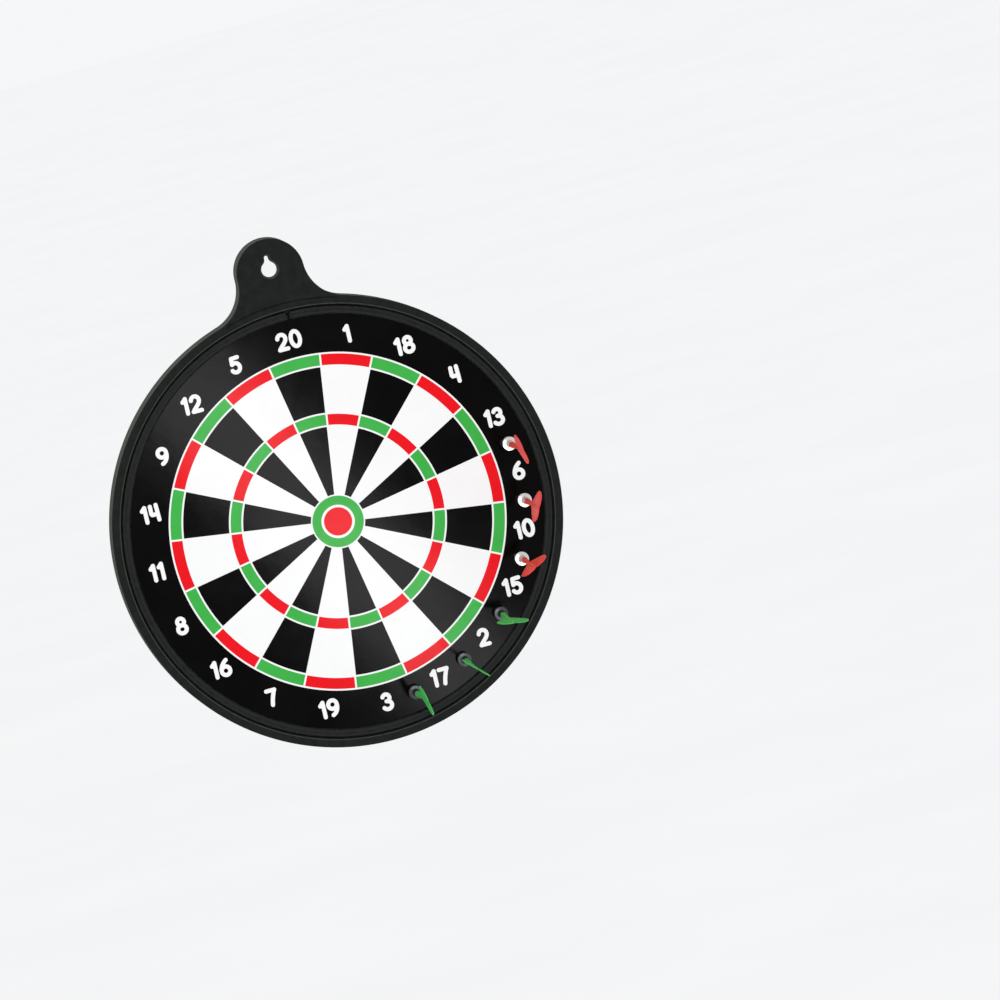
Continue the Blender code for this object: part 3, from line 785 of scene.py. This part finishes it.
def numerals(name, table, height, words, y_from, y_to, mat, slot, pen, gap, cut=False, after_one=0.0):
    """One piece of ink made of whole numbers, in cells of that height. A word is (text, x, z, scale,
    mirror), with x and z the middle of the number, x to the reader's right. Strokes run past the
    cell's edges by the pen's radius, or are cut off there."""
    glyphs = {}
    side = 0.0 if cut else pen[0]
    bm = bmesh.new()
    for text, x, z, scale, mirror in words:
        cursor, places = 0.0, []
        for digit in text:
            width, lines = table[digit]
            if digit not in glyphs:
                glyphs[digit] = glyph(lines, pen, (width, height) if cut else None)
            places.append((digit, cursor + side))
            cursor += width + 2 * side + gap + (after_one if digit == "1" else 0.0)
        cursor -= gap + (after_one if text[-1] == "1" else 0.0)
        for digit, left in places:
            start = len(bm.verts)
            bm.from_mesh(glyphs[digit])
            bm.verts.ensure_lookup_table()
            for vert in bm.verts[start:]:
                across = x + (vert.co.x + left - cursor / 2) * scale * MM
                up = z + (vert.co.z - height / 2) * scale * MM
                vert.co = Vector((mirror * across, y_from, up)) + Vector((0, 0, CENTRE.z))
    grown = bmesh.ops.extrude_face_region(bm, geom=bm.faces[:])["geom"]
    moved = [item for item in grown if isinstance(item, bmesh.types.BMVert)]
    bmesh.ops.translate(bm, verts=moved, vec=(0, y_to - y_from, 0))
    mesh = mesh_of(name, bm)
    mesh.materials.append(mat)
    tidy_mesh(mesh)
    piece(name, mesh, "board", slot)


def dart_numbers():
    words = []
    for i, number in enumerate(CLOCK):
        at = direction(TURN * i / SECTORS) * NUMBER_RADIUS
        words.append((str(number), at.x, at.z, 1.0, 1))
    numerals("dart_face_numbers", HAND, HAND_HEIGHT, words, PRINT_FRONT + 0.1 * MM,
             PRINT_FRONT - 0.08 * MM, print_white, "printed_sheet", HAND_PEN, 0.6)


# ---------------- fabric face

def fabric_face():
    """The printed loop cloth stretched over the pad: three scoring bands and a centre."""
    boundaries = [TURN / 8 * i for i in range(8)]
    between = 26
    disc, inner_start, inner_end, middle_start, middle_end, outer_start = SCORE_BANDS
    radii = [14 * MM, disc, disc + OUTLINE]
    kinds = ["centre", "centre", "line"]
    for start, end, kind in ((inner_start, inner_end, "inner"), (middle_start, middle_end, "middle")):
        radii += [start - OUTLINE, *np.linspace(start, end, 5), end + OUTLINE]
        kinds += ["white", "edge_" + kind] + [kind] * 4 + ["edge_" + kind]
    radii += [outer_start - OUTLINE, *np.linspace(outer_start, FABRIC_EDGE, 5)]
    kinds += ["white", "edge_outer"] + ["outer"] * 4
    # beyond its edge the cloth turns down into the gap beside the bead, and is coloured black there as
    # painted shadow in that gap
    sink = {FABRIC_EDGE + 0.7 * MM: 0.25 * MM, FABRIC_EDGE + 1.2 * MM: 0.8 * MM, DISC_RADIUS: 0.9 * MM}
    radii += list(sink)
    kinds += ["outer", "gap", "gap"]
    offsets = (DIVIDER - OUTLINE, DIVIDER)
    columns = [boundary_columns(boundaries, offsets, between, max(r, inner_start - OUTLINE)) for r in radii]
    loops = []
    for r, c in zip(radii, columns):
        near_edge = smooth_step((r - PUCKER_START) / PUCKER_RUN) * (r <= FABRIC_EDGE)
        pucker = np.abs(PUCKER_DEPTH * np.sin(61 * c) * near_edge)
        loops.append(round_board(r, c, FABRIC_FRONT - sink.get(r, 0.0) - pucker))
    loops.append(round_board(DISC_RADIUS, columns[-1], FABRIC_BACK))

    ink_of = {name: number for number, name in enumerate(loop)}
    white, black, red = ink_of["white"], ink_of["black"], ink_of["red"]
    per_eighth = between + 4
    part, place = np.divmod(np.arange(8 * per_eighth), per_eighth)
    # scores run clockwise as seen from the wall side, which is the other way round
    seen = 7 - part
    divider, after, before = place == per_eighth - 1, place == 0, place == per_eighth - 2
    # the inner band has dividers only on the diagonals
    diagonal = part % 2 == 0
    inner_line = (after & ~diagonal) | (before & diagonal)
    every = np.ones(len(part), int)
    # "gap" is black cloth standing for the shadow in the gap beside the bead: painted shadow
    looks = {"centre": red * every, "line": black * every, "white": white * every, "gap": black * every}
    for kind, split, line, inks in (
            ("inner", divider & diagonal, inner_line, [INNER_SCORES[(s + 1) // 2 % 4][1] for s in seen]),
            ("middle", divider, after | before, [MIDDLE_SCORES[s][1] for s in seen]),
            ("outer", divider, after | before, [OUTER_SCORES[s] for s in seen])):
        field = np.array([ink_of[name] for name in inks])
        looks[kind] = np.where(split, white, np.where(line, black, field))
        looks["edge_" + kind] = np.where(split, white, black)
    bands = [looks[kind] for kind in kinds[1:] + ["gap"]]
    mesh = skin("loop_fabric_cloth", loops, tuple(loop.values()), np.array(bands), caps=(red, white))
    cloth = piece("loop_fabric_cloth", mesh, "board", "loop_fabric", "loop_fabric_face")


def score_numbers():
    """The scores in white, and in red on the yellow fields."""
    inks = {"white": [("100", 0.8 * MM, 1.0 * MM, 1.0, -1)], "red": []}
    outer_scores = tuple(("10", colour) for colour in OUTER_SCORES)
    for radius, scores, first, scale in ((SCORE_RADII[0], INNER_SCORES, 0, 1.0),
                                         (SCORE_RADII[1], MIDDLE_SCORES, 0.5, 1.0),
                                         (SCORE_RADII[2], outer_scores, 0.5, OUTER_SCORE_SCALE)):
        for i, (text, colour) in enumerate(scores):
            at = direction(TURN * (i + first) / len(scores)) * radius
            inks["red" if colour == "yellow" else "white"].append((text, at.x, at.z, scale, -1))
    for name, words in inks.items():
        numerals(f"score_numbers_{name}", BOLD, BOLD_HEIGHT, words, FABRIC_FRONT - 0.15 * MM,
                 FABRIC_FRONT + 0.1 * MM, loop[name], "loop_fabric", BOLD_PEN, 1.0, cut=True, after_one=1.2)


def backing_pad():
    """The soft foam disc under the cloth, its edge squeezed round."""
    angle = np.arange(240) * TURN / 240
    middle, half = (PAD_FRONT + PAD_BACK) / 2, (PAD_FRONT - PAD_BACK) / 2
    loops = [round_board(DISC_RADIUS - half * (1 - math.sin(t)) * 1.2, angle, middle - half * math.cos(t))
             for t in np.radians(np.arange(0, 181, 20))]
    mesh = skin("foam_backing_pad", loops, (soft_foam,))
    pad = piece("foam_backing_pad", mesh, "board", "soft_foam", "foam_pad")


# ---------------- darts

def barrel_mesh(metal):
    """The turned barrel: a cupped head with a waist groove, and the sleeve that grips the stem."""
    waist, waist_radius = HEAD_LENGTH * 0.62, HEAD_RADIUS - 0.8 * MM
    cup, cup_floor = MAGNET_RADIUS + FIT_GAP, MAGNET_LENGTH + FIT_GAP
    socket_floor = SLEEVE_END - SOCKET_LENGTH
    profile = [
        (cup - 0.2 * MM, cup_floor), (cup, cup_floor), (cup, 0), (HEAD_RADIUS, 0),
        (HEAD_RADIUS, waist), (waist_radius, waist + 0.2 * MM),
        (waist_radius, waist + 0.9 * MM), (HEAD_RADIUS, waist + 1.1 * MM),
        (HEAD_RADIUS, HEAD_LENGTH), (SLEEVE_RADIUS + 0.1 * MM, HEAD_LENGTH),
        (SLEEVE_RADIUS, HEAD_LENGTH + 0.8 * MM), (SLEEVE_RADIUS, SLEEVE_END),
        (SOCKET_RADIUS, SLEEVE_END), (SOCKET_RADIUS, socket_floor), (SOCKET_RADIUS - 0.2 * MM, socket_floor),
    ]
    return lathe("dart_barrel", rounded(profile, 0.45 * MM), (metal,), steps=56)


def magnet_mesh():
    hub = MAGNET_RADIUS * 0.3
    profile = [(hub, 0), (MAGNET_RADIUS, 0), (MAGNET_RADIUS, MAGNET_LENGTH), (hub, MAGNET_LENGTH)]
    return lathe("dart_magnet", rounded(profile, 0.4 * MM), (magnet_face,), steps=56)


def half_outline(steps):
    """One half of the heart-shaped vane's edge in millimetres, from its root to the notch at the
    tail, finely scalloped where the ribs run out."""
    curves = (((VANE_ROOT, 0.0), (5.0, 8.5), (VANE_HALF, 21.0), (VANE_HALF, 28.0)),
              ((VANE_HALF, 28.0), (VANE_HALF, 36.5), (9.6, VANE_LENGTH), (6.3, VANE_LENGTH)),
              ((6.3, VANE_LENGTH), (3.6, VANE_LENGTH), (1.2, 44.2), (0.0, VANE_NOTCH)))
    fine = [p for part in curves for p in bend(*part, steps=60)[:-1]]
    fine = np.array(fine + [(0.0, VANE_NOTCH)])
    run = np.concatenate([[0], np.cumsum(np.hypot(*np.diff(fine, axis=0).T))])
    at = np.linspace(0, run[-1], steps + 1)
    smooth = np.stack([np.interp(at, run, fine[:, 0]), np.interp(at, run, fine[:, 1])], -1)
    along = np.gradient(smooth, axis=0)
    inward = np.stack([-along[:, 1], along[:, 0]], -1) / np.hypot(*along.T)[:, None]
    scallop = SCALLOP * (1 - np.cos(TURN * at / RIB_PITCH))
    scallop *= smooth_step(at / 6) * smooth_step((run[-1] - at) / 3)
    return smooth + inward * scallop[:, None]


def vane_mesh(plastic):
    """A thin two-lobed vane, smooth along its spine and ribbed like a feather towards its edge."""
    half = half_outline(260)
    edge = np.vstack([half, half[-2:0:-1] * (-1, 1)])
    spine = np.linspace(0, VANE_NOTCH, len(half))
    root = np.concatenate([spine, spine[-2:0:-1]])
    levels = []
    for share in 1 - (1 - np.linspace(0, 1, 17)) ** 1.35:
        u = edge[:, 0] * share
        v = root * (1 - share) + edge[:, 1] * share
        margin = np.hypot(edge[:, 0] - u, edge[:, 1] - v)
        ribbed = smooth_step((margin - 0.7) / 0.5) * smooth_step((8.0 - margin) / 2.5)
        rib = np.clip(np.sin(TURN * (v - 0.75 * np.abs(u)) / RIB_PITCH), -0.2, 1)
        valley = 0.14 * np.exp(-(u / 1.7) ** 2) * smooth_step((v - 12) / 8)
        border = 0.07 * (margin < 0.6) - 0.32 * smooth_step((0.25 - margin) / 0.25)
        thick = VANE_THICK + RIB_HEIGHT * ribbed * rib + border - valley
        levels.append(np.stack([u, thick, v], -1))
    front = [level * MM for level in levels]
    back = [level * (1, -1, 1) * MM for level in levels[::-1]]
    return skin("dart_vane", front[1:] + back[:-1], (plastic,))


def flight_mesh(plastic):
    """Vane and stem in one moulding; the stem runs on as a spine up the middle of the vane."""
    plug, plug_end = SOCKET_RADIUS - FIT_GAP, SLEEVE_END - SOCKET_LENGTH + FIT_GAP
    collar, collar_start = 2.5 * MM, SLEEVE_END + FIT_GAP
    profile = [
        (plug - 0.3 * MM, plug_end), (plug, plug_end), (plug, collar_start),
        (collar, collar_start), (collar, SLEEVE_END + 2.0 * MM), (VANE_ROOT * MM, FLIGHT_START),
        (0.75 * MM, FLIGHT_START + 27.5 * MM), (0.45 * MM, SPINE_END),
    ]
    stem = lathe("dart_stem", rounded(profile, 0.5 * MM), (plastic,), steps=32)
    vane = vane_mesh(plastic)
    # a hair off the stem's axis and turn, so that the two share no points
    stem.transform(Matrix.Rotation(0.05, 4, "Z"))
    vane.transform(Matrix.Translation(Vector((0.03, 0.02, 0.07)) * MM + Vector((0, 0, FLIGHT_START))))
    return combined(stem, vane, "UNION")


def darts():
    kinds = ((red_plastic, nickel, "red_plastic", "nickel"),
             (green_plastic, gunmetal, "green_plastic", "gunmetal"))
    magnet = magnet_mesh()
    for kind, (plastic, metal, plastic_slot, metal_slot) in enumerate(kinds):
        parts = (("flight", flight_mesh(plastic), plastic_slot), ("barrel", barrel_mesh(metal), metal_slot),
                 ("magnet", magnet, "magnet"))
        for i in range(kind * EACH_KIND, (kind + 1) * EACH_KIND):
            angle = DART_FIRST_ANGLE + i * DART_ANGLE_STEP
            spot = CENTRE + direction(angle) * DART_RING_RADIUS + Vector((0, DART_TIP, 0))
            roll = DART_FIRST_ANGLE + i * DART_ANGLE_STEP * 2
            matrix = (Matrix.Translation(spot) @ Matrix.Rotation(roll, 4, "Y")
                      @ Matrix.Rotation(QUARTER, 4, "X"))
            body = f"dart_{i + 1}"
            for part, mesh, slot in parts:
                piece(f"{body}_{part}_fine", mesh, body, slot, f"{body}_{part}", matrix=matrix)


# ---------------- balls

def octant(radius_at, rows, steps=24):
    """Loops round the middle of the +++ octant, from its hole out to its three edges. `rows` are
    heights above the nearest edge plane as shares of the middle's height; `radius_at` gives the
    shell's radius at a distance from the strap planes."""
    corners = np.eye(3)
    turn = np.arange(steps)[:, None] * QUARTER / steps
    border = np.vstack([np.cos(turn) * corners[a] + np.sin(turn) * corners[b]
                        for a, b in ((0, 1), (1, 2), (2, 0))])
    wide = np.arccos(np.clip(border @ DIAGONAL, -1, 1))[:, None]
    loops = []
    for row in rows:
        share = np.arcsin(np.clip(row * np.sin(wide), -1, 1)) / wide
        ray = (np.sin(share * wide) * DIAGONAL + np.sin((1 - share) * wide) * border) / np.sin(wide)
        loops.append(ray * radius_at(np.min(np.abs(ray), 1))[:, None])
    return loops


def shell_mesh(colours):
    """A hollow ball of eight raised panels, each with a hole in its middle."""
    def outside(distance):
        step = smooth_step((distance * SHELL_RADIUS - (PANEL_EDGE - PANEL_STEP)) / PANEL_STEP)
        return SHELL_RADIUS - PANEL_STEP * (1 - step)

    def inside(distance):
        return SHELL_INNER + 0 * distance

    rows = PANEL_ROWS + tuple(mark * MM / SHELL_RADIUS / DIAGONAL[0] for mark in PANEL_MARKS)
    outer = octant(outside, rows)
    inner = octant(inside, (0.8, 0.6, 0.4, 0.2, 0.0))

    def hole_loop(radius, across):
        """The outer skin's first loop pulled in to a true circle round the octant's middle."""
        rays = outer[0] / np.linalg.norm(outer[0], axis=1)[:, None]
        flat = rays - (rays @ DIAGONAL)[:, None] * DIAGONAL
        flat /= np.linalg.norm(flat, axis=1)[:, None]
        return flat * across + DIAGONAL * math.sqrt(radius**2 - across**2)

    rim = [(SHELL_INNER, HOLE_RADIUS), (SHELL_RADIUS - HOLE_LIP, HOLE_RADIUS)]
    rim += [(SHELL_RADIUS - sunk, HOLE_RADIUS + flare) for sunk, flare in quarter_round(HOLE_LIP, 30, 60, 90)]
    rim.append((SHELL_RADIUS, HOLE_RADIUS + 1.1 * MM))
    chain = np.array(inner[::-1] + [hole_loop(*place) for place in rim] + outer)
    index = np.arange(chain.shape[0] * chain.shape[1]).reshape(chain.shape[:2])
    bands = np.zeros(len(chain) - 1, int)
    # the inside and the hole walls take the third colour, which is painted shade
    bands[:len(inner) + 1] = 2
    panel_step = len(inner) + len(rim) + len(PANEL_ROWS)
    bands[panel_step:panel_step + 6] = 1
    kinds = np.repeat(bands, chain.shape[1])
    verts, faces = [], []
    for signs in OCTANTS:
        faces += (grid_faces(index) + len(verts) * index.size).tolist()
        verts.append(chain.reshape(-1, 3) * signs)
    return mesh_from("ball_shell", np.vstack(verts), faces, np.tile(kinds, len(OCTANTS)), colours,
                     merge=0.002 * MM)


def strap_mesh(name, lifted_at):
    """A hook band round the ball about local Y, rising over others at the given quarter turns, and
    open by a hair at its butt joint."""
    # the section as shares of the band's thickness and width
    section = rounded([(0.0, 0.5), (0.0, 0.0), (1.0, 0.0), (1.0, 0.5), (1.0, 1.0), (0.0, 1.0), (0.0, 0.52)],
                      0.22, 2)
    half_gap = STRAP_GAP / STRAP_INNER / 2
    loops = []
    for angle in np.linspace(STRAP_SEAM + half_gap, STRAP_SEAM + TURN - half_gap, 241):
        offset = abs((angle + QUARTER / 2) % QUARTER - QUARTER / 2)
        nearest = round(angle / QUARTER) % 4
        lift = float(smooth_step((LIFT_REACH - offset) / LIFT_RUN)) if nearest in lifted_at else 0.0
        inner = STRAP_INNER + (STRAP_LIFTED - STRAP_INNER) * lift
        row = []
        for thick, across in section:
            side = across * 2 - 1
            radius = inner + thick * (STRAP_THICKNESS - STRAP_CROWN * side**2)
            row.append(tuple(radius * direction(angle) + Vector((0, side * STRAP_WIDTH / 2, 0))))
        loops.append(row)
    return skin(name, loops, (hook_tape, strap_edge), 0, caps=(1, 1))


def balls():
    straps = (("strap_a", strap_mesh("hook_strap_a", ()), Matrix.Rotation(QUARTER, 4, "Z")),
              ("strap_b", strap_mesh("hook_strap_b", (0, 2)), Matrix.Identity(4)),
              ("strap_c", strap_mesh("hook_strap_c", (0, 1, 2, 3)), Matrix.Rotation(QUARTER, 4, "X")))
    kinds = (("yellow_plastic", shell_mesh((yellow_shell, yellow_rim, yellow_painted_inner_shade)), 45),
             ("blue_plastic", shell_mesh((blue_shell, blue_rim, blue_painted_inner_shade)), 225))
    depth = FABRIC_FRONT + BALL_GAP + STRAP_LIFTED + STRAP_THICKNESS
    for kind, (slot, shell, first_angle) in enumerate(kinds):
        for place in range(EACH_KIND):
            number = kind * EACH_KIND + place
            angle = math.radians(first_angle + BALL_ANGLE_STEP * place)
            spot = CENTRE + direction(angle) * BALL_RING_RADIUS + Vector((0, depth, 0))
            matrix = Matrix.Translation(spot) @ Matrix.Rotation(angle + number * BALL_TURN, 4, "Y")
            body = f"ball_{number + 1}"
            piece(f"{body}_shell_fine", shell, body, slot, f"{body}_shell", matrix=matrix)
            for label, mesh, turn in straps:
                piece(f"{body}_{label}_fine", mesh, body, "hook_tape", f"{body}_{label}",
                      matrix=matrix @ turn)


# ---------------- everything together

def board():
    foam_frame()
    bead("front_bead", PRINT_FRONT - RING_GAP, -1, "front_retaining_ring")
    bead("back_bead", FABRIC_FRONT + RING_GAP, 1, "back_retaining_ring")
    dart_print()
    dart_numbers()
    fabric_face()
    score_numbers()
    backing_pad()
    for node, mat in (("core_board", core), ("steel_plate", steel)):
        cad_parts[node].material_slots[0].material = mat


def studio():
    """A pale floor far below, a pale surround and three soft boxes."""
    half, level = 40.0, CENTRE.z - 1.2
    floor_mesh = bpy.data.meshes.new("studio_floor")
    floor_mesh.from_pydata([(-half, -half, level), (half, -half, level), (half, half, level),
                            (-half, half, level)], [], [(0, 1, 2, 3)])
    floor_mesh.materials.append(material("studio_floor", (254, 254, 254), (252, 252, 252), 400, 0.95, 0.05,
                                         Specular_IOR_Level=0.0))
    placed("studio_floor", floor_mesh)
    world = bpy.data.worlds.new("studio")
    world.use_nodes = True
    background = world.node_tree.nodes["Background"]
    background.inputs["Color"].default_value = (0.97, 0.975, 0.985, 1.0)
    background.inputs["Strength"].default_value = 0.95
    bpy.context.scene.world = world
    for name, offset, lean, size, power in SOFT_BOXES:
        data = bpy.data.lights.new(name, "AREA")
        data.shape = "RECTANGLE"
        data.size, data.size_y = size
        data.energy = power
        # the strip looks straight along +Y, the others at the board's centre
        back = Vector((0, -1, 0)) if name == "strip_box" else Vector(offset).normalized()
        right = direction(math.radians(lean)).cross(back).normalized()
        turn = Matrix((right, back.cross(right), back)).transposed().to_4x4()
        lamp = placed(name, data, Matrix.Translation(CENTRE + Vector(offset)) @ turn)
        lamp.visible_camera = False


def camera():
    """A long lens a little up and left of the dart face's axis, rolled so that the tab leans left."""
    tilt, towards, roll = math.radians(8.5), math.radians(-45.8), math.radians(15.2)
    distance, right_of_bull, above_bull = 6.795, 132.0 * MM, 17.45 * MM
    back = Vector((0, -1, 0)) * math.cos(tilt) + direction(towards) * math.sin(tilt)
    right = direction(roll).cross(back).normalized()
    up = back.cross(right)
    aim = CENTRE + Vector((0, PRINT_FRONT, 0)) + right * right_of_bull + up * above_bull
    data = bpy.data.cameras.new("camera")
    data.lens = 300
    data.sensor_width = 36
    data.clip_start, data.clip_end = 0.05, 100
    turn = Matrix((right, up, back)).transposed().to_4x4()
    bpy.context.scene.camera = placed("camera", data, Matrix.Translation(aim + back * distance) @ turn)


camera()
studio()
board()
darts()
balls()
bpy.context.scene.view_settings.view_transform = "Standard"
